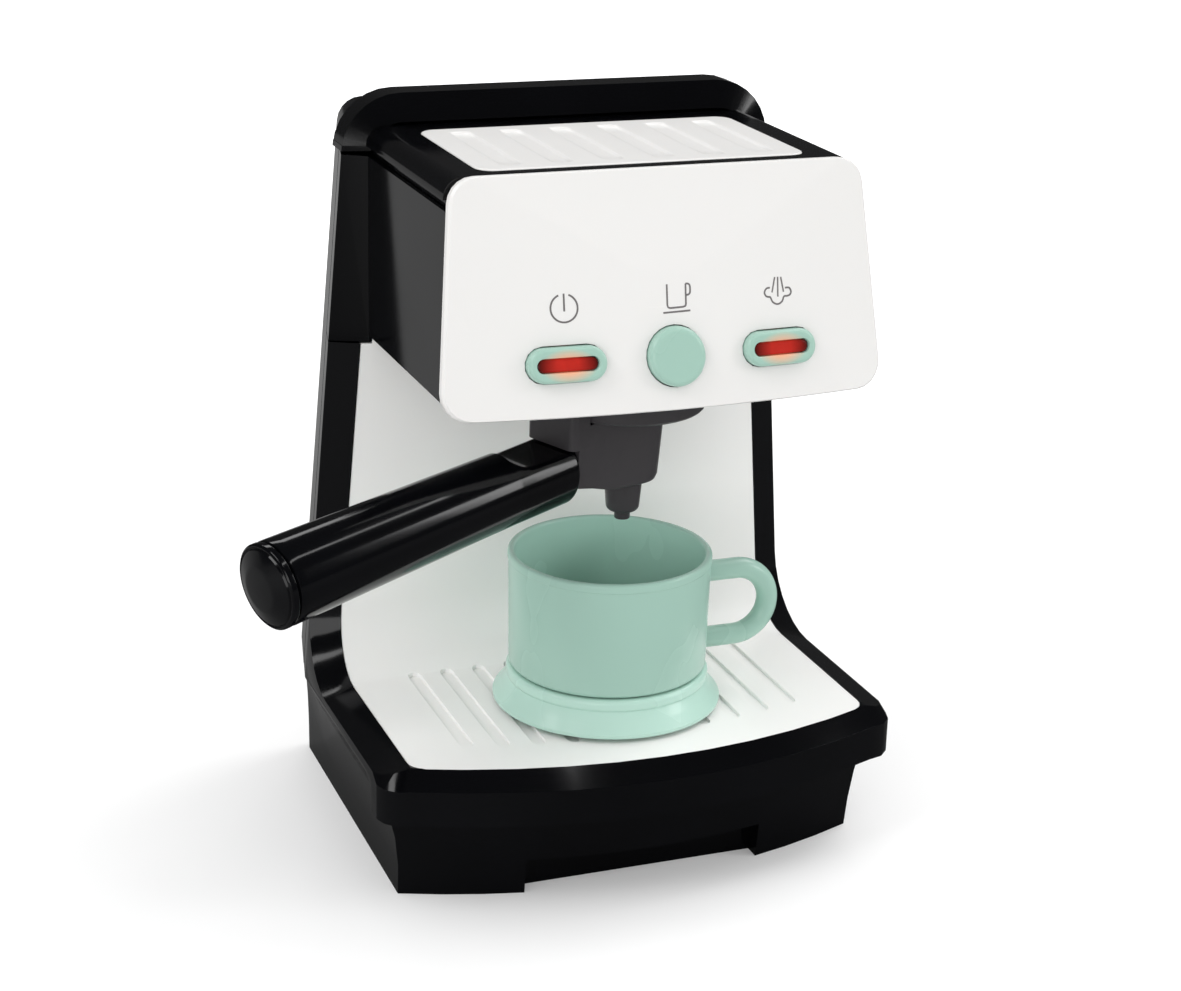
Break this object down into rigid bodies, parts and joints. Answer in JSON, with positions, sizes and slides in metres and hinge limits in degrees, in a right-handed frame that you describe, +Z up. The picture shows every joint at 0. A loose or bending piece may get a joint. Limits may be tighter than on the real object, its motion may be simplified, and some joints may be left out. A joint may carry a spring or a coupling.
{
  "type": "toy coffee maker",
  "caption": "Toy coffee maker with push buttons, a filter holder that turns under the head, and a cup on a saucer that slides out.",
  "frame": {"origin": "middle of the underside, at the level that the case stands on", "axes": "+Z up, the front with the buttons faces -Y, +X to the right of someone who faces the front"},
  "size_m": [0.2394, 0.1799, 0.2598],
  "materials": {
    "black_plastic": "high gloss",
    "white_plastic": "gloss",
    "mint_plastic": "gloss",
    "grey_plastic": "satin",
    "red_window": "clear red, gloss",
    "cell_sleeve": "printed sleeve",
    "contact_steel": "plain",
    "screw_steel": "zinc plated",
    "dark_plastic": "matte",
    "clear_plastic": "clear",
    "board_green": "printed board",
    "lead_red": "sheath",
    "lead_black": "sheath"
  },
  "bodies": {
    "case": {"lower_frame": "black_plastic", "bottom_cover": "black_plastic", "battery_box": "black_plastic", "battery_door": "black_plastic", "rear_casing": "black_plastic", "head_housing": "black_plastic", "top_cover": "black_plastic", "tray_panel": "white_plastic", "top_grille": "white_plastic", "fascia": "white_plastic", "group_collar": "grey_plastic", "battery_1": "cell_sleeve", "battery_2": "cell_sleeve", "contact_plate_left": "contact_steel", "contact_plate_right": "contact_steel", "battery_door_screw": "screw_steel", "bottom_screw_1": "screw_steel", "bottom_screw_2": "screw_steel", "bottom_screw_3": "screw_steel", "bottom_screw_4": "screw_steel", "bottom_screw_5": "screw_steel", "bottom_screw_6": "screw_steel", "rear_screw_1": "screw_steel", "rear_screw_2": "screw_steel", "rear_screw_3": "screw_steel", "rear_screw_4": "screw_steel", "board_screw_1": "screw_steel", "board_screw_2": "screw_steel", "collar_screw_1": "screw_steel", "collar_screw_2": "screw_steel", "speaker": "dark_plastic", "switch_left": "dark_plastic", "switch_centre": "dark_plastic", "switch_right": "dark_plastic", "led_left": "clear_plastic", "led_right": "clear_plastic", "circuit_board": "board_green", "battery_leads": "lead_red", "speaker_leads": "lead_black"},
    "button_left": {"button_left": "mint_plastic", "window_left": "red_window", "plunger_left": "dark_plastic"},
    "button_centre": {"button_centre": "mint_plastic", "plunger_centre": "dark_plastic"},
    "button_right": {"button_right": "mint_plastic", "window_right": "red_window", "plunger_right": "dark_plastic"},
    "filter_holder": {"filter_holder": "grey_plastic", "spout": "grey_plastic", "handle": "black_plastic", "handle_cap": "black_plastic", "handle_screw": "screw_steel"},
    "saucer": {"saucer": "mint_plastic"},
    "cup": {"cup": "mint_plastic"}
  },
  "joints": [
    {"name": "button_left_press", "type": "slide", "parent": "case", "child": "button_left", "axis": [0, 0.9854, -0.1702], "range_m": [0, 0.0015], "stiffness_N_per_m": 500, "springref_m": -0.001},
    {"name": "button_centre_press", "type": "slide", "parent": "case", "child": "button_centre", "axis": [0, 0.9854, -0.1702], "range_m": [0, 0.0015], "stiffness_N_per_m": 500, "springref_m": -0.001},
    {"name": "button_right_press", "type": "slide", "parent": "case", "child": "button_right", "axis": [0, 0.9854, -0.1702], "range_m": [0, 0.0015], "stiffness_N_per_m": 500, "springref_m": -0.001},
    {"name": "filter_holder_turn", "type": "hinge", "parent": "case", "child": "filter_holder", "pos_m": [0, -0.039, 0.16], "axis": [0, 0, 1], "range_deg": [-20, 68]},
    {"name": "saucer_slide", "type": "slide", "parent": "case", "child": "saucer", "axis": [0, -1, 0], "range_m": [0, 0.045]},
    {"name": "cup_lift", "type": "slide", "parent": "saucer", "child": "cup", "axis": [0, 0, 1], "range_m": [0, 0.012]}
  ]
}
